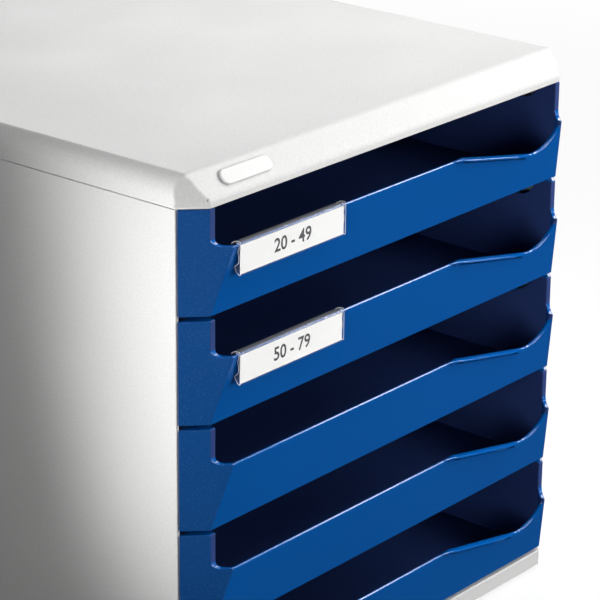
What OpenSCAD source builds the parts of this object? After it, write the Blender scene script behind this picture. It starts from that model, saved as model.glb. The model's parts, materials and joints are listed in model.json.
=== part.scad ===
// Desktop cabinet with five open-fronted paper drawers, moulded in plastic.
// +X is to the right, +Y to the back, +Z up. The origin is on the table, under the middle.

/* [Cabinet] */
// Overall width, outside the side panels
cabinet_w = 291; // [240:1:350]
// Overall depth, from the front of the label holders to the rear edges
cabinet_d = 352; // [290:1:425]
// Height from one drawer to the next
drawer_pitch = 53; // [44:1:66]
// Leg of the 45 degree facets that run down the front corners
corner_leg = 11; // [9:0.5:13]
// Width of the front return beside each opening
return_w = 3.5; // [2.5:0.5:5]

/* [Cover and base] */
// Height of the top cover above the side panels
cover_h = 15; // [12.5:0.5:20]
// Wall of the cover and the base
shell_t = 2.2; // [1.8:0.1:2.8]
// Height of the upright band along the cover's front edge
band_h = 3.6; // [2.5:0.1:5]
// How far the cover's sloping front runs back
slope_run = 10.5; // [7:0.5:14]
// How far the corner facet has leaned back at the top of the cover
facet_lean = 4.8; // [2:0.1:6]
// Radius of the cover's side edges
side_round = 11; // [8:0.5:14]
// Radius of the edges above and below the slope
slope_round = 4; // [3:0.5:5]
// Height of the base under the side panels
base_h = 8.5; // [7:0.5:14]
// Height of the feet below the base
foot_h = 2; // [1:0.5:4]

/* [Side panels] */
// Thickness of the side and back panels
panel_t = 2; // [1.6:0.1:2.6]
// Depth that the back panel is set in from the rear edges
back_inset = 3; // [2:0.5:6]

/* [Drawers] */
// Wall and floor of a drawer
wall = 2.2; // [1.8:0.1:2.6]
// Gap between one drawer and the next
drawer_gap = 2.2; // [1.2:0.1:3]
// Height of the drawer's side and back walls
tray_h = 40; // [34:0.5:48]
// How far the top of the lip leans out in front of the cabinet
lip_out = 7.5; // [4:0.5:10]
// Drop from the top of the corner post to the top of the lip
lip_drop = 17.5; // [14.5:0.5:21]
// Travel of a drawer from shut to its stop
drawer_travel = 250; // [180:5:290]

/* [Finger scoop] */
// Depth of the scoop below the top of the lip
scoop_depth = 14; // [8:0.5:18]
// Radius of the sweep back up to the corner
scoop_r = 20; // [16:0.5:24]
// Angle at which the scoop falls away from the lip
scoop_angle = 12.4; // [9:0.1:16]
// Height of the rolled rim under the scoop's edge
rim_h = 1.7; // [1.2:0.1:2.4]
// How far the rolled rim stands out from the lip
rim_out = 1.5; // [0.8:0.1:1.8]

/* [Runners] */
// Thickness of the flange that each drawer hangs on
flange_t = 2.5; // [2:0.1:3.5]
// Side gap between that flange and the rack
flange_gap = 1.4; // [0.8:0.1:1.8]
// Height of the flange above the drawer's floor
flange_z = 24; // [18:0.5:26]
// Running clearance of the flange in its channel
run_clear = 0.3; // [0.2:0.05:0.5]
// Thickness of the ribs that form the channels
rib_t = 1.6; // [1.2:0.1:2]

/* [Labels and badge] */
// Length of a label holder
label_w = 74.5; // [50:0.5:90]
// Height of a label holder's face
label_h = 16; // [12:0.5:17]
// Distance from the cabinet's left side to a label holder
label_x = 21.5; // [20:0.5:60]
// Length of the blank badge on the cover
badge_w = 34; // [20:1:50]
// Height of the badge, measured up the slope
badge_h = 7.8; // [6:0.1:10]
// Thickness of the badge
badge_t = 1.6; // [1:0.1:2]
// Distance from the cabinet's left side to the middle of the badge
badge_x = 40.5; // [34:0.5:120]

/* [Hidden] */
$fn = 48;
eps = 0.01;
drawer_count = 5;
root2 = sqrt(2);

// Planes across the cabinet, from the middle line
half_w = cabinet_w / 2;
opening_x = half_w - corner_leg - return_w;
tray_x = opening_x + wall;
panel_x = half_w - panel_t;
rack_t = 1.6;
rack_x = panel_x - rack_t;

// Planes from front to back
label_proud = 1.4;
label_y = -cabinet_d / 2;
lip_y = label_y + label_proud;
front_y = lip_y + lip_out;
edge_y = front_y + corner_leg;
back_y = cabinet_d / 2;
back_face_y = back_y - back_inset;
back_front_y = back_face_y - panel_t;
stop_rib_d = 4;
rest_gap = 0.3;
tray_back_y = back_front_y - stop_rib_d - rest_gap;

// Levels
top_gap = 0.5;
deck_z = foot_h + base_h;
seam_z = deck_z + drawer_count * drawer_pitch + top_gap;
top_z = seam_z + cover_h;
drawer_h = drawer_pitch - drawer_gap;
lip_z = drawer_h - lip_drop;
shadow_gap = 0.4;

// The front of each drawer covers the front edge of the side panels
front_gap = 0.6;
post_back_y = edge_y - front_gap;
post_deck_t = 2;
wall_cut = wall * root2;
lip_lean = lip_out / lip_z;
lip_tilt = atan(lip_lean);
lip_wall = wall / cos(lip_tilt);
lip_fillet = 3.5;
lip_face_h = lip_z / cos(lip_tilt);
lip_half_w = half_w - corner_leg - lip_out;

// Centre of the scoop's sweep, on the lip's outer face
scoop_x = lip_half_w - sqrt(pow(scoop_r, 2) - pow(scoop_r - scoop_depth, 2));
scoop_mid_h = lip_face_h - scoop_depth + scoop_r;
rim_fade = 10;

// Stiffening ribs under a drawer's floor
floor_rib_t = 1.6;
floor_rib_h = 1;
floor_rib_x = 70;
floor_rib_inset = 8;

// Lugs on the flanges meet the racks' front stops at the end of the travel
flange_x = rack_x - flange_gap;
lug_h = 1.2;
lug_l = 6;
lug_inset = 1;
stop_gap = 0.2;

// Screw bosses stand between the drawers and the racks
boss_h = 14;
boss_in = tray_x + 0.5;
boss_out = rack_x - 0.2;
boss_x = (boss_in + boss_out) / 2;
boss_r = (boss_out - boss_in) / 2;
boss_y = [edge_y + 25, back_y - 30];
gusset_t = 3;

// Runner racks: one plate with five channels on each side
rack_bottom_z = deck_z + boss_h;
rack_top_z = seam_z - 5;
rack_flange_t = 2;
rack_front_y = edge_y + 2;
rack_back_y = back_y - 7;
rib_x = tray_x + 3.3;
stop_y = edge_y + 4;
stop_l = 4;
channel_h = flange_t + lug_h + 3 * run_clear;
lug_y = stop_y + stop_l + drawer_travel + stop_gap;

// Fasteners: self-tapping screws, four in the base and four under the cover
screw_r = 1.4;
pilot_r = 1.45;
clear_r = 1.7;
head_r = 3.2;
head_h = 2.2;
slot_l = 4;
slot_w = 0.8;
slot_d = 1;
base_screw_l = 10;
cover_screw_l = 13;

// Feet
foot_r = 9;
foot_seat = 1.2;
foot_rim = 2;
foot_x = half_w - 26;
foot_y = [edge_y + 26, back_y - 32];

// Cover shell
tongue_h = 4;
tongue_t = 1.4;
tongue_root = 2.5;
tongue_inset = 14;
fit_gap = 0.1;
facet_foot = 1;
rear_round = 4;
crown_cut = 0.7;

// Stiffening ribs in the cover and under the base
brace_t = 1.6;
brace_x = 60;
brace_y = [for (i = [-1.5:1:1.5]) i * 60];
brace_inset = 12;
cover_brace_h = 5;
base_brace_h = 3;

// Back panel, held in grooves
groove_t = 1.5;
groove_d = 4;
stop_rib_x = 80;
stop_rib_w = 4;

// Label holder, measured from the top front edge of the lip, and the card behind its face
clip_t = 0.45;
clip_top = 1.45;
card_t = 0.3;
card_gap = 0.03;
card_left = 0.35;
card_right = 1.2;
card_foot = 0.6;
card_drop = 1.6;

function drawer_z(k) = seam_z - top_gap - (k - 1) * drawer_pitch - drawer_h;

// A box given by its lowest and highest corners
module block(low, high) {
    translate(low) cube(high - low);
}

// A flat shape drawn in Y and Z, made into a bar that runs from x0 to x1
module along_x(x0, x1) {
    translate([x0, 0, 0]) rotate([90, 0, 90]) linear_extrude(x1 - x0) children();
}

// A flat shape drawn in X and Z, made into a bar that runs from y0 to y1
module along_y(y0, y1) {
    translate([0, y1, 0]) rotate([90, 0, 0]) linear_extrude(y1 - y0) children();
}

// The same piece on both sides of the cabinet
module both_sides() {
    children();
    mirror([1, 0, 0]) children();
}

// A quarter-round web that fills an inside corner at the origin, towards +X and +Y
module fillet_web(r) {
    difference() {
        translate([-eps, -eps]) square(r + eps);
        translate([r, r]) circle(r);
    }
}

// ---- Cover and base ----

// Plan of the cabinet with its front corners cut off, drawn in by t all round
module plan(t) {
    cut = t * (root2 - 1);
    polygon([
        [-half_w + t, back_y - t],
        [-half_w + t, edge_y + cut],
        [-half_w + corner_leg + cut, front_y + t],
        [half_w - corner_leg - cut, front_y + t],
        [half_w - t, edge_y + cut],
        [half_w - t, back_y - t]
    ]);
}

// Section across the cover: upright sides that round over into a flat top
module cover_across(t) {
    r = side_round - t;
    round_z = top_z + crown_cut - side_round;
    intersection() {
        union() {
            translate([-half_w + t, seam_z - 1]) square([cabinet_w - 2 * t, round_z - seam_z + 1]);
            translate([-half_w + side_round, seam_z]) square([cabinet_w - 2 * side_round, cover_h + 1]);
            for (side = [-1, 1]) translate([side * (half_w - side_round), round_z]) circle(r);
        }
        translate([-half_w, seam_z - 1]) square([cabinet_w, cover_h - t + 1]);
    }
}

// Section from front to back: an upright band, a slope, a flat top and a rounded rear edge
module cover_along(t) {
    rise = cover_h - band_h;
    slope = atan(rise / slope_run);
    up_slope = [cos(slope), sin(slope)];
    shift = t * (1 - cos(slope)) / sin(slope);
    low = [front_y + t, seam_z + band_h - t * (1 - sin(slope)) / cos(slope)];
    high = [front_y + slope_run + shift, top_z - t];
    low_bend = tan((90 - slope) / 2);
    high_bend = tan(slope / 2);
    r = slope_round - t;
    rear_r = rear_round - t;
    union() {
        polygon([
            [front_y + t, seam_z - 1],
            low - [0, r * low_bend],
            low + r * low_bend * up_slope,
            high - r * high_bend * up_slope,
            high + [r * high_bend, 0],
            [back_y - rear_round, top_z - t],
            [back_y - rear_round, seam_z - 1]
        ]);
        translate([front_y + slope_round, seam_z + band_h - slope_round * low_bend]) circle(r);
        translate([front_y + slope_run + slope_round * high_bend, top_z - slope_round]) circle(r);
        translate([back_y - rear_round - eps, seam_z - 1])
            square([rear_round - t + eps, cover_h + 1 - rear_round]);
        translate([back_y - rear_round, top_z - rear_round]) circle(rear_r);
    }
}

// Upright section square to the left corner facet, which curves back as it rises
module facet_section(t) {
    reach = 3 * cabinet_d;
    rise = cover_h - facet_foot;
    r = (pow(rise, 2) + pow(facet_lean, 2)) / (2 * facet_lean);
    translate([t, seam_z - 1]) square([reach, facet_foot + 1]);
    translate([r, seam_z - 1]) square([reach, cover_h + 2]);
    translate([r, seam_z + facet_foot]) circle(r - t);
}

module facet_trim(t) {
    mid = corner_leg / 2;
    translate([-half_w + mid, edge_y - mid, 0])
        rotate([90, 0, 45]) linear_extrude(3 * cabinet_d, center = true) facet_section(t);
}

module cover_form(t) {
    intersection() {
        translate([0, 0, seam_z - 1]) linear_extrude(cover_h + 2) plan(t);
        along_y(-cabinet_d, cabinet_d) cover_across(t);
        along_x(-cabinet_w, cabinet_w) cover_along(t);
        facet_trim(t);
        mirror([1, 0, 0]) facet_trim(t);
    }
}

// What is moulded inside the cover: ribs, screw bosses and the tongues that locate it
module cover_inside() {
    rib_low = top_z - shell_t - cover_brace_h;
    for (y = brace_y)
        block([-half_w, y - brace_t / 2, rib_low], [half_w, y + brace_t / 2, top_z]);
    // rib in front of the back panel's top edge
    block([-half_w + tongue_inset, back_front_y - 2 * fit_gap - brace_t, seam_z + 1],
          [half_w - tongue_inset, back_front_y - 2 * fit_gap, top_z]);
    both_sides() {
        block([-brace_x - brace_t / 2, front_y + slope_run + brace_inset, rib_low],
              [-brace_x + brace_t / 2, back_y - brace_inset, top_z]);
        for (y = boss_y) translate([-boss_x, y, seam_z]) cylinder(cover_h, r = boss_r);
        block([-half_w, edge_y + tongue_inset, seam_z],
              [-panel_x + fit_gap + tongue_t, back_y - tongue_inset, seam_z + tongue_root]);
    }
}

module top_cover() color("gainsboro") {
    difference() {
        union() {
            difference() {
                cover_form(0);
                block([-cabinet_w, -cabinet_d, seam_z - 2], [cabinet_w, cabinet_d, seam_z]);
                cover_form(shell_t);
            }
            intersection() {
                cover_form(shell_t / 2);
                cover_inside();
            }
            both_sides() {
                block([-panel_x + fit_gap, edge_y + tongue_inset, seam_z - tongue_h],
                      [-panel_x + fit_gap + tongue_t, back_y - tongue_inset, seam_z + eps]);
                for (y = boss_y)
                    translate([-boss_x, y, rack_top_z]) cylinder(seam_z - rack_top_z + eps, r = boss_r);
            }
        }
        both_sides() for (y = boss_y)
            translate([-boss_x, y, rack_top_z - 1]) cylinder(cover_screw_l + 1, r = pilot_r);
    }
}

module base() color("gainsboro") {
    rib_low = deck_z - shell_t - base_brace_h;
    rib_top = deck_z - shell_t / 2;
    difference() {
        union() {
            difference() {
                translate([0, 0, foot_h]) linear_extrude(base_h) plan(0);
                translate([0, 0, foot_h - 1]) linear_extrude(base_h + 1 - shell_t) plan(shell_t);
            }
            for (y = brace_y)
                block([-half_w + shell_t / 2, y - brace_t / 2, rib_low],
                      [half_w - shell_t / 2, y + brace_t / 2, rib_top]);
            both_sides() {
                block([-brace_x - brace_t / 2, front_y + shell_t / 2, rib_low],
                      [-brace_x + brace_t / 2, back_y - shell_t / 2, rib_top]);
                // pads that the feet sit in
                for (y = foot_y)
                    translate([-foot_x, y, foot_h]) cylinder(rib_top - foot_h, r = foot_r + foot_rim);
            }
        }
        both_sides() {
            for (y = foot_y)
                translate([-foot_x, y, foot_h - 1]) cylinder(1 + foot_seat, r = foot_r + fit_gap);
            for (y = boss_y) translate([-boss_x, y, foot_h]) cylinder(base_h + 1, r = clear_r);
        }
    }
}

// ---- Sides, back and runners ----

module side_panel_left() {
    difference() {
        union() {
            block([-half_w, edge_y, deck_z + shadow_gap], [-panel_x, back_y, seam_z - shadow_gap]);
            // the inner half of the panel meets the cover and the base
            block([-half_w + panel_t / 2, edge_y + 1, deck_z], [-panel_x, back_y - 1, seam_z]);
            // bosses for the base screws, which also carry the runner rack
            for (y = boss_y) {
                translate([-boss_x, y, deck_z]) cylinder(boss_h, r = boss_r);
                block([-panel_x - eps, y - gusset_t / 2, deck_z], [-boss_x, y + gusset_t / 2, rack_bottom_z]);
            }
            // groove for the back panel
            for (y = [back_face_y + fit_gap, back_front_y - fit_gap - groove_t])
                block([-panel_x - eps, y, deck_z + 1], [-panel_x + groove_d, y + groove_t, seam_z - 1]);
        }
        for (y = boss_y) translate([-boss_x, y, deck_z - 1]) cylinder(base_screw_l, r = pilot_r);
    }
}

module left_side_panel() color("silver") side_panel_left();

module right_side_panel() color("silver") mirror([1, 0, 0]) side_panel_left();

module back_panel() color("silver") {
    edge_x = panel_x - fit_gap;
    tab_x = half_w - tongue_inset;
    block([-edge_x, back_front_y, deck_z], [edge_x, back_face_y, seam_z - fit_gap]);
    // tab that stands up inside the cover
    block([-tab_x, back_front_y, seam_z - 1], [tab_x, back_face_y, seam_z + tongue_h]);
    // upright ribs that the drawers come to rest against
    both_sides() block([-stop_rib_x - stop_rib_w / 2, back_front_y - stop_rib_d, deck_z + 4],
                       [-stop_rib_x + stop_rib_w / 2, back_front_y + eps, rack_top_z]);
}

module rack_left() {
    difference() {
        union() {
            block([-panel_x, rack_front_y, rack_bottom_z], [-rack_x, rack_back_y, rack_top_z]);
            for (k = [1:drawer_count]) {
                ledge_z = drawer_z(k) + flange_z - run_clear;
                keeper_z = ledge_z + channel_h;
                block([-rack_x - eps, stop_y, ledge_z - rib_t], [-rib_x, rack_back_y, ledge_z]);
                block([-rack_x - eps, stop_y, keeper_z], [-rib_x, rack_back_y, keeper_z + rib_t]);
                // front stop that the drawer's lug meets
                block([-rack_x - eps, stop_y, keeper_z - lug_h], [-rib_x, stop_y + stop_l, keeper_z + eps]);
            }
            // top flange, screwed up to the cover
            block([-rack_x - eps, rack_front_y, rack_top_z - rack_flange_t],
                  [-boss_in, rack_back_y, rack_top_z]);
        }
        for (y = boss_y)
            translate([-boss_x, y, rack_top_z - rack_flange_t - 1]) cylinder(rack_flange_t + 2, r = clear_r);
    }
}

module left_runner_rack() color("gray") rack_left();

module right_runner_rack() color("gray") mirror([1, 0, 0]) rack_left();

// ---- Drawers ----

// Plan of the drawer's front: the corner facets run on to the front of the lip
module front_plan() {
    polygon([
        [-half_w + front_gap, post_back_y], [-lip_half_w, lip_y],
        [lip_half_w, lip_y], [half_w - front_gap, post_back_y]
    ]);
}

// Section of the front: the leaning lip, and the corner posts behind it
module front_section() {
    polygon([
        [front_y, 0], [lip_y, lip_z], [front_y, lip_z],
        [front_y, drawer_h], [post_back_y, drawer_h], [post_back_y, 0]
    ]);
    translate([front_y, lip_z]) mirror([1, 0]) fillet_web(lip_fillet);
}

// The space for papers, open above
module tray_plan() {
    back = tray_back_y - wall;
    corner_y = edge_y + wall_cut - corner_leg - return_w;
    tip = lip_half_w - wall_cut;
    polygon([
        [-opening_x, back], [-opening_x, corner_y], [-tip, lip_y],
        [tip, lip_y], [opening_x, corner_y], [opening_x, back]
    ]);
}

module tray_section() {
    above = drawer_h + 1;
    polygon([
        [front_y + lip_wall - lip_lean * wall, wall],
        [front_y + lip_wall - lip_lean * above, above],
        [tray_back_y, above], [tray_back_y, wall]
    ]);
}

// Hollow behind a corner post, open at the back and below
module post_hollow() {
    slope_x = -half_w + wall_cut + front_gap;
    translate([0, 0, -1]) linear_extrude(drawer_h + 1 - post_deck_t) polygon([
        [slope_x, post_back_y + eps],
        [-tray_x, edge_y + wall_cut - (half_w - tray_x)],
        [-tray_x, post_back_y + eps]
    ]);
}

// The lip's outer face laid flat: X across, Y up the face, from the lip's foot
module on_lip_face() {
    translate([0, front_y, 0]) rotate([90 + lip_tilt, 0, 0]) children();
}

// Outline of the scoop: a straight fall, then a sweep up to the corner
module scoop_outline(grow) {
    r = scoop_r + grow;
    touch = [scoop_x - r * sin(scoop_angle), scoop_mid_h - r * cos(scoop_angle)];
    start = touch + lip_face_h / sin(scoop_angle) * [-cos(scoop_angle), sin(scoop_angle)];
    translate([scoop_x, scoop_mid_h]) intersection() {
        circle(r, $fn = 96);
        translate([-r * sin(scoop_angle), -2 * r]) square([3 * r, 4 * r]);
    }
    polygon([start, touch, [scoop_x, scoop_mid_h], [scoop_x + r, scoop_mid_h],
             [scoop_x + r, start[1]]]);
}

// Rolled rim that follows the scoop's edge and dies away at both ends
module scoop_rim() {
    first = scoop_x - (scoop_depth + rim_h) / tan(scoop_angle);
    last = scoop_x - 5;
    intersection() {
        on_lip_face() translate([0, 0, -1]) linear_extrude(rim_out + 1) difference() {
            intersection() {
                scoop_outline(rim_h);
                square([half_w, lip_face_h]);
            }
            scoop_outline(0);
        }
        on_lip_face() rotate([-90, 0, 0]) linear_extrude(4 * lip_face_h, center = true) polygon([
            [first, 1], [first, 0], [first + rim_fade, -rim_out],
            [last - rim_fade, -rim_out], [last, 0], [last, 1]
        ]);
    }
}

module drawer_shape() {
    union() {
        difference() {
            union() {
                intersection() {
                    linear_extrude(drawer_h) front_plan();
                    along_x(-half_w, half_w) front_section();
                }
                block([-tray_x, post_back_y - eps, 0], [tray_x, tray_back_y, tray_h]);
                // side walls sweep down from the posts
                both_sides() along_x(-tray_x, -opening_x) translate([post_back_y, tray_h])
                    fillet_web(drawer_h - tray_h);
            }
            intersection() {
                translate([0, 0, -1]) linear_extrude(drawer_h + 3) tray_plan();
                along_x(-half_w, half_w) tray_section();
            }
            both_sides() post_hollow();
            on_lip_face() translate([0, 0, -2 * wall]) linear_extrude(4 * wall) scoop_outline(0);
        }
        scoop_rim();
        both_sides() {
            block([-flange_x, stop_y, flange_z], [-tray_x + eps, tray_back_y, flange_z + flange_t]);
            // lug that stops the drawer at the end of its travel
            block([-flange_x, lug_y, flange_z + flange_t - eps],
                  [-tray_x - lug_inset, lug_y + lug_l, flange_z + flange_t + lug_h]);
        }
        // stiffening ribs under the floor
        for (x = [-1, 0, 1] * floor_rib_x)
            block([x - floor_rib_t / 2, post_back_y + floor_rib_inset, -floor_rib_h],
                  [x + floor_rib_t / 2, tray_back_y - floor_rib_inset, eps]);
    }
}

module drawer(k) color("royalblue") translate([0, 0, drawer_z(k)]) drawer_shape();

module drawer_1() drawer(1);
module drawer_2() drawer(2);
module drawer_3() drawer(3);
module drawer_4() drawer(4);
module drawer_5() drawer(5);

// ---- Label holders ----

// Direction from one point to the next
function heading(a, b) = (b - a) / norm(b - a);

// Where the strip's edge turns beside points[i], a distance d to the left of it
function beside(points, i, d) =
    let(
        last = len(points) - 1,
        before = heading(points[max(i - 1, 0)], points[max(i, 1)]),
        after = heading(points[min(i, last - 1)], points[min(i + 1, last)])
    )
    points[i] + d * [-before[1] - after[1], before[0] + after[0]] / (1 + before * after);

// A bent strip of thickness t through the given points
module strip(points, t) {
    last = len(points) - 1;
    polygon(concat(
        [for (i = [0:last]) beside(points, i, t / 2)],
        [for (i = [last:-1:0]) beside(points, i, -t / 2)]
    ));
}

// Section of a holder: one strip that hooks over the lip, forms the face, turns under the card
// and comes back up as a wavy spring that rests on the lip
module holder_section() {
    face_y = -label_proud + clip_t / 2;
    foot_z = clip_top - label_h + clip_t / 2;
    hook = [[4.1, -2], [4.1, -1.5], [3.2, -0.8], [1.9, -0.15], [0.2, 0.1], [-0.7, 0]];
    spring = [[0.3, 0.28], [1.3, 1.33], [2.05, 2.7], [1.85, 3.8], [0.8, 4.6], [-0.1, 5.7],
              [-0.3, 8.1], [-0.05, 9.4], [0.4, 10.7], [-0.2, 12.5], [-0.32, 14.38],
              [-0.08, 14.76], [0.6, 14.8], [1.5, 14.8]];
    strip(concat(
        [for (p = hook) p + [0, clip_top]],
        [[face_y + 0.12, clip_top - 0.25], [face_y, clip_top - 0.6]],
        [[face_y, foot_z + 0.33], [face_y + 0.13, foot_z + 0.03], [face_y + 0.43, foot_z - 0.05]],
        [for (p = spring) p + [0, foot_z]]
    ), clip_t);
}

module label_holder(k) color("white", 0.6)
    translate([0, lip_y, drawer_z(k) + lip_z])
        along_x(-half_w + label_x, -half_w + label_x + label_w) holder_section();

module label_card(k) color("white") {
    card_y = -label_proud + clip_t + card_gap;
    translate([-half_w + label_x, lip_y, drawer_z(k) + lip_z])
        block([card_left, card_y, clip_top - label_h + card_foot],
              [label_w - card_right, card_y + card_t, clip_top - card_drop]);
}

module label_holder_1() label_holder(1);
module label_holder_2() label_holder(2);
module label_card_1() label_card(1);
module label_card_2() label_card(2);

// ---- Badge, feet and screws ----

// Blank pill that stands on the cover's slope
module badge() color("whitesmoke") {
    rise = cover_h - band_h;
    translate([-half_w + badge_x, front_y + slope_run / 2, seam_z + band_h + rise / 2])
        rotate([atan(rise / slope_run), 0, 0]) linear_extrude(badge_t) {
            square([badge_w - badge_h, badge_h], center = true);
            for (side = [-1, 1]) translate([side * (badge_w - badge_h) / 2, 0]) circle(badge_h / 2);
        }
}

module foot(side, y) color("dimgray")
    translate([side * foot_x, y, 0]) cylinder(foot_h + foot_seat, r = foot_r);

module front_left_foot() foot(-1, foot_y[0]);
module front_right_foot() foot(1, foot_y[0]);
module rear_left_foot() foot(-1, foot_y[1]);
module rear_right_foot() foot(1, foot_y[1]);

// A screw that points up, with the underside of its head at z = 0 and a cross in the head
module screw(l) {
    difference() {
        union() {
            cylinder(l, r = screw_r);
            translate([0, 0, -head_h]) cylinder(head_h, r = head_r);
        }
        for (turn = [0, 90]) rotate(turn)
            translate([0, 0, -head_h]) cube([slot_l, slot_w, 2 * slot_d], center = true);
    }
}

module base_screws() color("dimgray")
    both_sides() for (y = boss_y) translate([-boss_x, y, deck_z - shell_t]) screw(base_screw_l);

module cover_screws() color("dimgray")
    both_sides() for (y = boss_y)
        translate([-boss_x, y, rack_top_z - rack_flange_t]) screw(cover_screw_l);

top_cover();
base();
left_side_panel();
right_side_panel();
back_panel();
left_runner_rack();
right_runner_rack();
drawer_1();
drawer_2();
drawer_3();
drawer_4();
drawer_5();
label_holder_1();
label_holder_2();
label_card_1();
label_card_2();
badge();
front_left_foot();
front_right_foot();
rear_left_foot();
rear_right_foot();
base_screws();
cover_screws();
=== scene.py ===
import json
import math

import bmesh
import bpy
from mathutils import Matrix, Quaternion, Vector


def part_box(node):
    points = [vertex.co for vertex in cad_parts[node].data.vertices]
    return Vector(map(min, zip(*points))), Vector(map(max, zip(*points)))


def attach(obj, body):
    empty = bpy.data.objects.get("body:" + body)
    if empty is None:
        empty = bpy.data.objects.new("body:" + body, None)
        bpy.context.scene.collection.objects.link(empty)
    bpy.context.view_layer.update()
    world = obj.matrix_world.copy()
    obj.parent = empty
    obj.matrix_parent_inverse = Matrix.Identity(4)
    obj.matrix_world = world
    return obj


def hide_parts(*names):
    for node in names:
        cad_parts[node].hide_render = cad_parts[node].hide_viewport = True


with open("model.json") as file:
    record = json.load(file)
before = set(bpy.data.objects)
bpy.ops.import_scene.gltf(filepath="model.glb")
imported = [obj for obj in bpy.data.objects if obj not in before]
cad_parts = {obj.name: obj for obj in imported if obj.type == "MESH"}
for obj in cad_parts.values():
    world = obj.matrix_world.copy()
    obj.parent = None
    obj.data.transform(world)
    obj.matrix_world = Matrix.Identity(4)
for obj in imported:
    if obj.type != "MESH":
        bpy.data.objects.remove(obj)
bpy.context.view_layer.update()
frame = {"nodes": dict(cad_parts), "record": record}

MM = 0.001

# ---- Driving values: lengths in metres, angles in radians unless a name or comment says otherwise ----

# Camera: place in the part's frame, heading clockwise from +Y, pitch below the horizon, and roll
CAMERA_AT = Vector((-1.00123, -0.93940, 0.67339))
CAMERA_HEADING = math.radians(50.279)
CAMERA_PITCH = math.radians(20.773)
CAMERA_ROLL = math.radians(0.5947)
CAMERA_LENS_MM = 166.43
CAMERA_SENSOR_MM = 36
CAMERA_NEAR = 0.05
CAMERA_FAR = 60

# Lamps: name, place, aim, width, height, watts, spread and tilt in degrees
LAMPS = (
    ("side_strip", (-0.344, -0.04, 0.177), (-0.1455, -0.29, 0.317), 0.073, 0.293, 0.385, 88, -5.6),
    ("side_soft", (-1.6, 0.3, 0.3), (-0.1455, 0.0, 0.15), 0.8, 0.8, 1.75, 120, 0),
    ("left_front", (-0.9, -0.45, 0.3), (0.1, -0.17, 0.2), 0.1, 0.3, 0.13, 30, 0),
    ("key", (0.965, -0.62, 0.93), (0.0, -0.17, 0.20), 0.18, 1.0, 2.8, 100, -50.5),
    ("scoop_key", (0.765, -0.81, 1.0), (0.09, -0.175, 0.20), 0.12, 0.7, 1.0, 100, -50.5),
    ("slant_key", (1.12, -0.415, 0.67), (0.03, -0.175, 0.22), 0.22, 0.22, 0.7, 100, 0),
    ("front_low", (0.5, -1.5, 0.5), (0.0, -0.17, 0.16), 0.8, 0.8, 4.8, 90, 0),
    ("top_right", (1.0, 0.8, 0.9), (0, 0, 0.29), 0.8, 0.8, 4.4, 120, 0),
    ("top_left", (-0.7, 0.6, 0.6), (0, 0, 0.29), 0.5, 0.5, 0.34, 90, 0),
    ("top_soft", (0.1, -0.45, 1.5), (0.0, -0.12, 0.29), 0.8, 0.8, 2.6, 120, 0),
    ("back_fill", (0.1, 1.5, 0.15), (0, 0.176, 0.15), 1.2, 0.24, 5.4, 120, 0),
)
WORLD_FILL = 0.02

# Floor: how much of it glows by itself near the object and far out, and where the one turns into the other
FLOOR_REACH = 15
FLOOR_GLOW = (0.8, 1.0)
FLOOR_FADE = (0.45, 1.3)

# Colours, linear
HOUSING_GREY = (0.625, 0.623, 0.619)
DRAWER_BLUE = (0.0002, 0.084, 0.340)
POST_BLUE = (0.0020, 0.058, 0.225)
# Painted shade: a darker, violet blue for the drawers' insides and front returns, standing in for the
# shade that falls there
INSIDE_PAINTED_SHADE = (0.022, 0.046, 0.170)
SPARKLE_BLUE = (0.35, 0.6, 1.0)
INK_BLACK = (0.012, 0.012, 0.014)
# Painted shade: the runner racks inside the housing are painted dark grey, standing in for the shade there
RACK_PAINTED_SHADE = (0.20, 0.21, 0.22)
CLEAR_MILKY = (0.86, 0.87, 0.88)
CARD_WHITE = (0.83, 0.83, 0.82)
BADGE_WHITE = (0.67, 0.67, 0.665)
RUBBER_BLACK = (0.022, 0.022, 0.024)
ZINC = (0.58, 0.59, 0.61)
FLOOR_WHITE = (0.90, 0.90, 0.90)
FLOOR_BOUNCE = (0.03, 0.03, 0.03)
WHITE = (1.0, 1.0, 1.0)

# Noise: how many features to the metre
BROAD_SCALE = 14
CLOUD_SCALE = 60
FIBRE_SCALE = 1500
BLOTCH_SCALE = 900

# Bands of a noise's values that are stretched from 0 to 1
WHOLE = (0.0, 1.0)
BROAD_BAND = (0.3, 0.7)
MOTTLE_BAND = (0.35, 0.65)
SPARKLE_BAND = (0.62, 0.74)

# Swings of a material about its roughness and its colour, as factors, and some plain roughnesses
ROUGHNESS_SWING = (0.9, 1.12)
COLOUR_SWING = (0.975, 1.02)
CARD_SWING = (0.96, 1.03)
ZINC_SWING = (0.8, 1.1)
CLEAR_ROUGHNESS = (0.08, 0.16)
ZINC_ROUGHNESS = (0.25, 0.5)
FIBRE_DEPTH = 0.02 * MM

# Roundings of the moulded edges
EDGE_DRAWER = 0.45 * MM
EDGE_LIP = 1.0 * MM
EDGE_HOUSING = 0.5 * MM
EDGE_COVER = 0.9 * MM
EDGE_PANEL = 0.35 * MM
EDGE_SMALL = 0.2 * MM
EDGE_CLIP = 0.12 * MM
EDGE_BADGE = 0.5 * MM
EDGE_FOOT = 0.4 * MM
EDGE_LEAST = 0.06 * MM
ROUNDING_STEPS = 3

# Which edges are rounded, and how much room a rounding may take
MERGE = 1e-6
NO_LENGTH = 1e-9
NO_LIMIT = 1.0
FLAT_ANGLE = math.radians(0.4)
SHARP_ANGLE = math.radians(28)
SHADING_ANGLE = math.radians(40)
STRAIGHT_ON = math.radians(150)
ROOM_SHARE = 0.45
CROWDED_END = 2 * MM
LONG_EDGE = 10 * CROWDED_END

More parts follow.
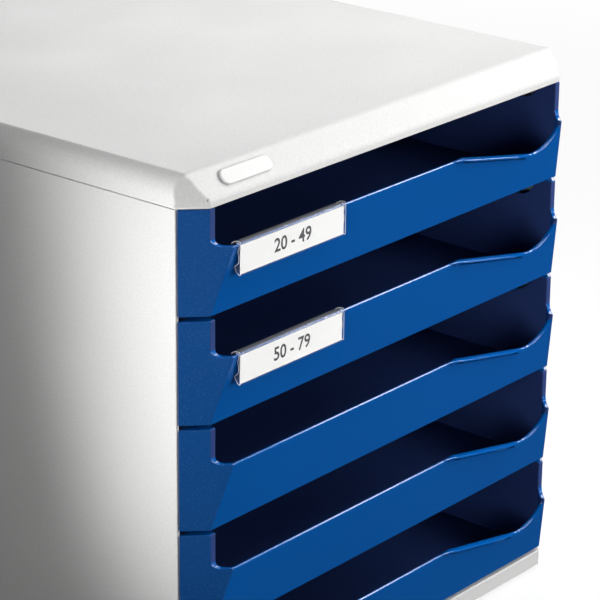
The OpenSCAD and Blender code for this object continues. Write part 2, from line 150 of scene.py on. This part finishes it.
# Places that tell one part of a moulding from another
SEAM_Z = 276 * MM            # where the cover's sides end
SEAM_RIM = 0.2 * MM          # an edge that starts this close to the seam stays sharp
TOP_Z = 291 * MM
TOP_RIM = 1.5 * MM           # so does a front edge this close to the cover's top
HOLLOW_RIM = 4 * MM          # and one on the roof of its hollow
COVER_FRONT_Y = -150 * MM    # the cover's slope and corner facets are in front of this
LIP_Y = -160 * MM            # a drawer's lip is in front of this
TRAY_FRONT_Y = -150 * MM     # the back of the lip is in front of this
TRAY_BACK_Y = 100 * MM       # the back wall is behind this
OPENING_X = 125 * MM         # the returns and the inner walls are outside this
WALL_X = 132.5 * MM          # and the outer walls are outside this
FLOOR_RISE = 4 * MM          # the tray's floor is less than this above the drawer's lowest point

# How much of a face's normal lies along an axis, and the range of it that the lip's lean gives
ALONG = 0.98
ALMOST = 0.95
MOSTLY = 0.9
SLANTED = 0.6
HALF = 0.5
TURNED = 0.2
HARDLY = 0.1
LIP_LEAN = (-0.3, -0.15)

# Drawers from the top, and the print on the cards of the upper two
DRAWERS = (1, 2, 3, 4, 5)
CARD_WORDS = {1: "20 - 49", 2: "50 - 79"}
PRINT_SIZE = 9.2 * MM
PRINT_BOLD = 0.18 * MM
PRINT_LIFT = 0.012 * MM


# ---- Node helpers ----

def new_material(name, colour, roughness, specular):
    """A Principled material and the things its nodes are linked with."""
    material = bpy.data.materials.new(name)
    material.use_nodes = True
    nodes, links = material.node_tree.nodes, material.node_tree.links
    shader = nodes["Principled BSDF"]
    shader.inputs["Base Color"].default_value = (*colour, 1)
    shader.inputs["Roughness"].default_value = roughness
    shader.inputs["Specular IOR Level"].default_value = specular
    return material, nodes, links, shader


def object_coords(nodes):
    return nodes.new("ShaderNodeTexCoord").outputs["Object"]


def noise(nodes, links, coords, scale, detail, rough=0.5):
    node = nodes.new("ShaderNodeTexNoise")
    node.inputs["Scale"].default_value = scale
    node.inputs["Detail"].default_value = detail
    node.inputs["Roughness"].default_value = rough
    links.new(coords, node.inputs["Vector"])
    return node.outputs["Fac"]


def remap(nodes, links, value, onto, band=WHOLE):
    """Stretches a band of a value's range onto another range, and holds it there."""
    node = nodes.new("ShaderNodeMapRange")
    node.inputs["From Min"].default_value = band[0]
    node.inputs["From Max"].default_value = band[1]
    node.inputs["To Min"].default_value = onto[0]
    node.inputs["To Max"].default_value = onto[1]
    links.new(value, node.inputs["Value"])
    return node.outputs["Result"]


def colour_mix(nodes, blend_type):
    node = nodes.new("ShaderNodeMix")
    node.data_type = "RGBA"
    node.blend_type = blend_type
    return node


def tint(nodes, links, value, colour_low, colour_high):
    """Mixes two colours by a value from 0 to 1."""
    node = colour_mix(nodes, "MIX")
    node.inputs["A"].default_value = (*colour_low, 1)
    node.inputs["B"].default_value = (*colour_high, 1)
    links.new(value, node.inputs["Factor"])
    return node.outputs["Result"]


def bump(nodes, links, shader, height, depth):
    node = nodes.new("ShaderNodeBump")
    node.inputs["Strength"].default_value = 1.0
    node.inputs["Distance"].default_value = depth
    links.new(height, node.inputs["Height"])
    links.new(node.outputs["Normal"], shader.inputs["Normal"])


def scaled(colour, factor):
    return tuple(min(1.0, c * factor) for c in colour)


def shades_of(colour, swing):
    """The darkest and the palest shade of a colour that a surface shows."""
    return [scaled(colour, factor) for factor in swing]


# ---- Materials ----

def mottled(nodes, links, colour, fine, mottle):
    """Darkens a colour between its grains by the given share."""
    grains = remap(nodes, links, fine, WHOLE, MOTTLE_BAND)
    node = colour_mix(nodes, "MULTIPLY")
    node.inputs["Factor"].default_value = 1.0
    links.new(colour, node.inputs["A"])
    links.new(tint(nodes, links, grains, scaled(WHITE, 1 - mottle), WHITE), node.inputs["B"])
    return node.outputs["Result"]


def sparkling(nodes, links, colour, fine, sparkle):
    """Adds pale blue points to a colour where the grain is highest."""
    spots = remap(nodes, links, fine, WHOLE, SPARKLE_BAND)
    node = colour_mix(nodes, "ADD")
    node.inputs["B"].default_value = (*scaled(SPARKLE_BLUE, sparkle), 1)
    links.new(spots, node.inputs["Factor"])
    links.new(colour, node.inputs["A"])
    return node.outputs["Result"]


def moulded_plastic(name, colour, roughness, specular, grain, depth, mottle=0.0, sparkle=0.0):
    """Moulded plastic: a fine grain of the given size and depth, and faintly uneven gloss and colour."""
    material, nodes, links, shader = new_material(name, colour, roughness, specular)
    coords = object_coords(nodes)
    fine = noise(nodes, links, coords, 1 / grain, detail=2.0)
    broad = noise(nodes, links, coords, BROAD_SCALE, detail=3.0)
    gloss = [roughness * factor for factor in ROUGHNESS_SWING]
    links.new(remap(nodes, links, broad, gloss, BROAD_BAND), shader.inputs["Roughness"])
    uneven = remap(nodes, links, broad, WHOLE, BROAD_BAND)
    mix = tint(nodes, links, uneven, *shades_of(colour, COLOUR_SWING))
    if mottle:
        mix = mottled(nodes, links, mix, fine, mottle)
    if sparkle:
        mix = sparkling(nodes, links, mix, fine, sparkle)
    links.new(mix, shader.inputs["Base Color"])
    bump(nodes, links, shader, fine, depth)
    return material


def clear_plastic(name, opacity):
    """Milky clear plastic, seen through in part."""
    material, nodes, links, shader = new_material(name, CLEAR_MILKY, roughness=0.1, specular=0.5)
    cloud = noise(nodes, links, object_coords(nodes), CLOUD_SCALE, detail=3.0)
    links.new(remap(nodes, links, cloud, CLEAR_ROUGHNESS), shader.inputs["Roughness"])
    links.new(remap(nodes, links, cloud, opacity), shader.inputs["Alpha"])
    return material


def card_stock(name, colour):
    """Matte card with short fibres; the same surface carries the print."""
    material, nodes, links, shader = new_material(name, colour, roughness=0.8, specular=0.25)
    fibres = noise(nodes, links, object_coords(nodes), FIBRE_SCALE, detail=4.0, rough=0.7)
    links.new(tint(nodes, links, fibres, *shades_of(colour, CARD_SWING)), shader.inputs["Base Color"])
    bump(nodes, links, shader, fibres, FIBRE_DEPTH)
    return material


def zinc_steel(name):
    """Zinc plated steel with dull and bright blotches."""
    material, nodes, links, shader = new_material(name, ZINC, roughness=0.35, specular=0.5)
    shader.inputs["Metallic"].default_value = 1.0
    blotches = noise(nodes, links, object_coords(nodes), BLOTCH_SCALE, detail=3.0)
    links.new(remap(nodes, links, blotches, ZINC_ROUGHNESS), shader.inputs["Roughness"])
    links.new(tint(nodes, links, blotches, *shades_of(ZINC, ZINC_SWING)), shader.inputs["Base Color"])
    return material


housing = moulded_plastic("housing_plastic", HOUSING_GREY, roughness=0.55, specular=0.2,
                          grain=0.8 * MM, depth=0.03 * MM, mottle=0.09)
lip_blue = moulded_plastic("drawer_gloss", DRAWER_BLUE, roughness=0.11, specular=0.5,
                           grain=1.2 * MM, depth=0.004 * MM)
post_blue = moulded_plastic("drawer_grain", POST_BLUE, roughness=0.45, specular=0.2,
                            grain=0.5 * MM, depth=0.05 * MM, sparkle=0.16)
# Painted shade: the drawers' insides and front returns get this darker, violet blue in place of the shade
# inside them
inside_painted_shade = moulded_plastic("drawer_inside_painted_shade", INSIDE_PAINTED_SHADE, roughness=0.5, specular=0.2,
                              grain=0.6 * MM, depth=0.02 * MM)
# Painted shade: dark grey for the runner racks, in place of the shade inside the housing
rack_painted_shade = moulded_plastic("rack_plastic", RACK_PAINTED_SHADE, roughness=0.5, specular=0.4,
                            grain=0.5 * MM, depth=0.02 * MM)
badge_white = moulded_plastic("badge_plastic", BADGE_WHITE, roughness=0.5, specular=0.2,
                              grain=0.8 * MM, depth=0.004 * MM)
foot_rubber = moulded_plastic("foot_rubber", RUBBER_BLACK, roughness=0.75, specular=0.3,
                              grain=0.6 * MM, depth=0.04 * MM)
clear = clear_plastic("clear_plastic", opacity=(0.04, 0.07))
clear_edge = clear_plastic("clear_plastic_edge", opacity=(0.8, 0.9))
card = card_stock("card", CARD_WHITE)
ink = card_stock("ink", INK_BLACK)
zinc = zinc_steel("screw_zinc")


# ---- Rounding of the mouldings ----

def room_beside(edge):
    """Largest radius that fits beside an edge, from the sides that turn away at its ends."""
    room = NO_LIMIT
    for loop in edge.link_loops:
        after, before = loop.link_loop_next, loop.link_loop_prev
        run = after.vert.co - loop.vert.co
        onwards = after.link_loop_next.vert.co - after.vert.co
        backwards = before.vert.co - loop.vert.co
        for start, way in ((-run, onwards), (run, backwards)):
            if way.length > NO_LENGTH and start.angle(way) < STRAIGHT_ON:
                room = min(room, ROOM_SHARE * way.length)
    return room


def split_ends(bm, wide, radius):
    """Parts a long edge from its crowded last few millimetres, so that the rest keeps its radius."""
    for edge in [e for e in bm.edges if e.calc_length() > LONG_EDGE and wide(e)]:
        if room_beside(edge) < radius:
            for vert in list(edge.verts):
                bmesh.utils.edge_split(edge, vert, CROWDED_END / edge.calc_length())


def cleaned(mesh):
    """A CAD node's shape without doubled points, and without edges across its flat faces."""
    bm = bmesh.new()
    bm.from_mesh(mesh)
    bmesh.ops.remove_doubles(bm, verts=bm.verts, dist=MERGE)
    bmesh.ops.dissolve_degenerate(bm, dist=MERGE, edges=bm.edges)
    bmesh.ops.dissolve_limit(bm, angle_limit=FLAT_ANGLE, verts=bm.verts, edges=bm.edges, delimit=set())
    return bm


def weigh_edges(bm, radius, wide, wide_radius, left_sharp):
    """Gives each sharp edge the part of the widest rounding that it wants and has room for."""
    weight = bm.edges.layers.float.new("bevel_weight_edge")
    widest = max(radius, wide_radius)
    for edge in bm.edges:
        if left_sharp and left_sharp(edge):
            continue
        if len(edge.link_faces) == 2 and edge.calc_face_angle(0) > SHARP_ANGLE:
            wanted = wide_radius if wide and wide(edge) else radius
            size = min(wanted, room_beside(edge))
            edge[weight] = size / widest if size > EDGE_LEAST else 0.0
    return widest


def add_rounding(piece, width):
    rounding = piece.modifiers.new("rounding", "BEVEL")
    rounding.limit_method = "WEIGHT"
    rounding.width = width
    rounding.segments = ROUNDING_STEPS
    rounding.use_clamp_overlap = False
    flats = piece.modifiers.new("flats", "WEIGHTED_NORMAL")
    flats.keep_sharp = True


def add_object(name, data):
    thing = bpy.data.objects.new(name, data)
    bpy.context.scene.collection.objects.link(thing)
    return thing


def paint(piece, *materials):
    piece.data.materials.clear()
    for material in materials:
        piece.data.materials.append(material)


record = frame["record"]
body_of = {n: body for body, members in record["behaviour"]["bodies"].items() for n in members}


def rounded_copy(node, name, radius, wide=None, wide_radius=0.0, left_sharp=None):
    """A new piece with a CAD node's shape, whose sharp edges are rounded as a mould rounds them."""
    bm = cleaned(frame["nodes"][node].data)
    if wide:
        split_ends(bm, wide, wide_radius)
    widest = weigh_edges(bm, radius, wide, wide_radius, left_sharp)
    mesh = bpy.data.meshes.new(name)
    bm.to_mesh(mesh)
    bm.free()
    mesh.shade_smooth()
    mesh.set_sharp_from_angle(angle=SHADING_ANGLE)
    piece = add_object(name, mesh)
    add_rounding(piece, widest)
    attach(piece, body_of[node])
    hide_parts(node)
    return piece


# ---- Housing ----

def lies_in_front(edge, y):
    return max(v.co.y for v in edge.verts) < y


def on_cover_crease(edge):
    """The outer creases beside the cover's two corner facets."""
    outwards = all(f.normal.y < HARDLY and f.normal.z > -HARDLY for f in edge.link_faces)
    return outwards and lies_in_front(edge, COVER_FRONT_Y) and min(v.co.z for v in edge.verts) > SEAM_Z


def on_cover_rim(edge):
    """Where the creases run out into the flat top, the hollow and the seam, there is no room to round."""
    low, high = sorted(v.co.z for v in edge.verts)
    hollow = high > TOP_Z - HOLLOW_RIM and any(f.normal.z < -HARDLY for f in edge.link_faces)
    at_top = lies_in_front(edge, COVER_FRONT_Y) and (hollow or high > TOP_Z - TOP_RIM)
    return low < SEAM_Z + SEAM_RIM or at_top


def make_housing():
    cover = rounded_copy("top_cover", "top_cover_moulding", EDGE_PANEL,
                         on_cover_crease, EDGE_COVER, on_cover_rim)
    paint(cover, housing)
    paint(rounded_copy("base", "base_moulding", EDGE_HOUSING), housing)
    for node in ("left_side_panel", "right_side_panel", "back_panel"):
        paint(rounded_copy(node, node + "_moulding", EDGE_PANEL), housing)
    # The runner racks get the dark grey painted shade
    for node in ("left_runner_rack", "right_runner_rack"):
        paint(rounded_copy(node, node + "_moulding", EDGE_SMALL), rack_painted_shade)


# ---- Drawers ----

def is_corner_facet(normal):
    """The grained corner posts face forwards and sideways at 45 degrees."""
    return normal.y < -SLANTED and abs(normal.x) > SLANTED and abs(normal.z) < TURNED


def is_lip_front(normal):
    """The lip leans out at its top, so its front faces forwards and a little down."""
    return normal.y < -ALMOST and LIP_LEAN[0] < normal.z < LIP_LEAN[1]


def is_front_return(face):
    """The narrow upright strips between the corner posts and the opening."""
    return face.normal.y < -ALONG and abs(face.normal.z) < HARDLY and abs(face.center.x) > OPENING_X


def on_lip_rim(edge):
    """Both upper edges of a drawer's lip, with the edges of its finger scoop."""
    first, second = (f.normal for f in edge.link_faces)
    face, other = (first, second) if abs(first.y) > ALMOST else (second, first)
    along_lip = face.y > ALMOST or is_lip_front(face)
    upwards = abs(other.y) < HALF and (other.z > TURNED or other.x < -TURNED)
    return along_lip and lies_in_front(edge, LIP_Y) and upwards


def is_inside(face, floor_z):
    """The inner faces of a drawer: floor, side walls, back wall and the back of the lip."""
    n, at = face.normal, face.center
    on_floor = n.z > MOSTLY and at.z < floor_z + FLOOR_RISE
    on_side = abs(n.x) > MOSTLY and n.x * at.x < 0 and OPENING_X < abs(at.x) < WALL_X
    on_lip = n.y > MOSTLY and at.y < TRAY_FRONT_Y
    on_back = n.y < -MOSTLY and at.y > TRAY_BACK_Y
    return on_floor or on_side or on_lip or on_back


def make_drawer(k):
    """Gloss all over, apart from the grained posts and the dull inside; the inside and the front returns
    are painted a darker, violet blue as painted shade.
    """
    drawer = rounded_copy(f"drawer_{k}", f"drawer_{k}_moulding", EDGE_DRAWER, on_lip_rim, EDGE_LIP)
    paint(drawer, lip_blue, post_blue, inside_painted_shade)
    floor_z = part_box(f"drawer_{k}")[0].z
    for face in drawer.data.polygons:
        if is_corner_facet(face.normal):
            face.material_index = 1
        # Painted shade: the inside faces and the front returns take the darker inside blue
        elif is_inside(face, floor_z) or is_front_return(face):
            face.material_index = 2


def make_label_holder(k):
    """A clear clip whose cut ends look milky, with its card."""
    clip = rounded_copy(f"label_holder_{k}", f"label_clip_{k}", EDGE_CLIP)
    paint(clip, clear, clear_edge)
    for face in clip.data.polygons:
        face.material_index = 1 if abs(face.normal.x) > MOSTLY else 0
    paint(frame["nodes"][f"label_card_{k}"], card)


def card_numbers(k, words):
    """Plain printed numbers in the middle of a card."""
    curve = bpy.data.curves.new(f"numbers_{k}", "FONT")
    curve.body = words
    curve.size = PRINT_SIZE
    curve.offset = PRINT_BOLD
    curve.align_x = "CENTER"
    curve.align_y = "CENTER"
    text = bpy.data.objects.new(f"numbers_{k}", curve)
    mesh = bpy.data.meshes.new_from_object(text)
    bpy.data.objects.remove(text)
    low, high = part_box(f"label_card_{k}")
    middle = (low + high) / 2
    for vertex in mesh.vertices:
        x, z, _ = vertex.co
        vertex.co = (middle.x + x, low.y - PRINT_LIFT, middle.z + z)
    piece = add_object(f"card_numbers_{k}", mesh)
    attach(piece, body_of[f"label_card_{k}"])
    paint(piece, ink)


# ---- Small parts ----

def make_small_parts():
    paint(rounded_copy("badge", "badge_plate", EDGE_BADGE), badge_white)
    for node in ("front_left_foot", "front_right_foot", "rear_left_foot", "rear_right_foot"):
        paint(rounded_copy(node, node + "_pad", EDGE_FOOT), foot_rubber)
    for node in ("base_screws", "cover_screws"):
        paint(frame["nodes"][node], zinc)


# ---- Stage ----

def area_light(name, at, aim, width, height, power, spread, tilt):
    """A rectangular lamp aimed at a point; tilt turns its upright side about the aim."""
    light = bpy.data.lights.new(name, "AREA")
    light.shape = "RECTANGLE"
    light.size = width
    light.size_y = height
    light.energy = power
    light.spread = math.radians(spread)
    lamp = add_object(name, light)
    lamp.location = at
    lamp.rotation_mode = "QUATERNION"
    turn = Quaternion((0, 0, 1), math.radians(tilt))
    lamp.rotation_quaternion = (Vector(aim) - Vector(at)).to_track_quat("-Z", "Y") @ turn
    lamp.visible_camera = False


def floor_glow(nodes, links, shader):
    """What the camera sees: lit ground that turns into an even white further out."""
    glow = nodes.new("ShaderNodeEmission")
    glow.inputs["Color"].default_value = (*WHITE, 1)
    distance = nodes.new("ShaderNodeVectorMath")
    distance.operation = "LENGTH"
    links.new(object_coords(nodes), distance.inputs[0])
    share = remap(nodes, links, distance.outputs["Value"], FLOOR_GLOW, FLOOR_FADE)
    seen = nodes.new("ShaderNodeMixShader")
    links.new(share, seen.inputs["Fac"])
    links.new(shader.outputs["BSDF"], seen.inputs[1])
    links.new(glow.outputs["Emission"], seen.inputs[2])
    return seen.outputs["Shader"]


def floor_material():
    """Pale ground that keeps the object's shadow and throws little light back."""
    material, nodes, links, shader = new_material("floor", FLOOR_WHITE, roughness=0.9, specular=0.1)
    bounce = nodes.new("ShaderNodeBsdfDiffuse")
    bounce.inputs["Color"].default_value = (*FLOOR_BOUNCE, 1)
    path = nodes.new("ShaderNodeLightPath")
    mix = nodes.new("ShaderNodeMixShader")
    links.new(path.outputs["Is Camera Ray"], mix.inputs["Fac"])
    links.new(bounce.outputs["BSDF"], mix.inputs[1])
    links.new(floor_glow(nodes, links, shader), mix.inputs[2])
    links.new(mix.outputs["Shader"], nodes["Material Output"].inputs["Surface"])
    return material


def make_floor(reach):
    mesh = bpy.data.meshes.new("floor")
    corners = [(-reach, -reach, 0), (reach, -reach, 0), (reach, reach, 0), (-reach, reach, 0)]
    mesh.from_pydata(corners, [], [(0, 1, 2, 3)])
    floor = add_object("floor", mesh)
    floor.data.materials.append(floor_material())


def make_world(fill):
    """A soft even fill, seen as white by the camera."""
    world = bpy.data.worlds.new("studio")
    bpy.context.scene.world = world
    world.use_nodes = True
    nodes, links = world.node_tree.nodes, world.node_tree.links
    nodes.clear()
    path = nodes.new("ShaderNodeLightPath")
    strength = remap(nodes, links, path.outputs["Is Camera Ray"], (fill, 1.0))
    background = nodes.new("ShaderNodeBackground")
    background.inputs["Color"].default_value = (*WHITE, 1)
    links.new(strength, background.inputs["Strength"])
    output = nodes.new("ShaderNodeOutputWorld")
    links.new(background.outputs["Background"], output.inputs["Surface"])


def make_camera():
    """A plain camera whose axes come from its heading, pitch and roll."""
    right = Vector((math.cos(CAMERA_HEADING), -math.sin(CAMERA_HEADING), 0))
    level = Vector((math.sin(CAMERA_HEADING), math.cos(CAMERA_HEADING), 0))
    up = Vector((0, 0, 1))
    forward = level * math.cos(CAMERA_PITCH) - up * math.sin(CAMERA_PITCH)
    top = level * math.sin(CAMERA_PITCH) + up * math.cos(CAMERA_PITCH)
    x_axis = right * math.cos(CAMERA_ROLL) + top * math.sin(CAMERA_ROLL)
    y_axis = top * math.cos(CAMERA_ROLL) - right * math.sin(CAMERA_ROLL)
    data = bpy.data.cameras.new("camera")
    data.lens = CAMERA_LENS_MM
    data.sensor_width = CAMERA_SENSOR_MM
    data.clip_start = CAMERA_NEAR
    data.clip_end = CAMERA_FAR
    camera = add_object("camera", data)
    camera.matrix_world = Matrix((
        (x_axis.x, y_axis.x, -forward.x, CAMERA_AT.x),
        (x_axis.y, y_axis.y, -forward.y, CAMERA_AT.y),
        (x_axis.z, y_axis.z, -forward.z, CAMERA_AT.z),
        (0, 0, 0, 1)))
    bpy.context.scene.camera = camera


# ---- The scene ----

make_housing()
for k in DRAWERS:
    make_drawer(k)
for k in CARD_WORDS:
    make_label_holder(k)
for k, words in CARD_WORDS.items():
    card_numbers(k, words)
make_small_parts()

make_floor(FLOOR_REACH)
make_world(WORLD_FILL)
make_camera()
for lamp in LAMPS:
    area_light(*lamp)
bpy.context.scene.view_settings.view_transform = "Standard"
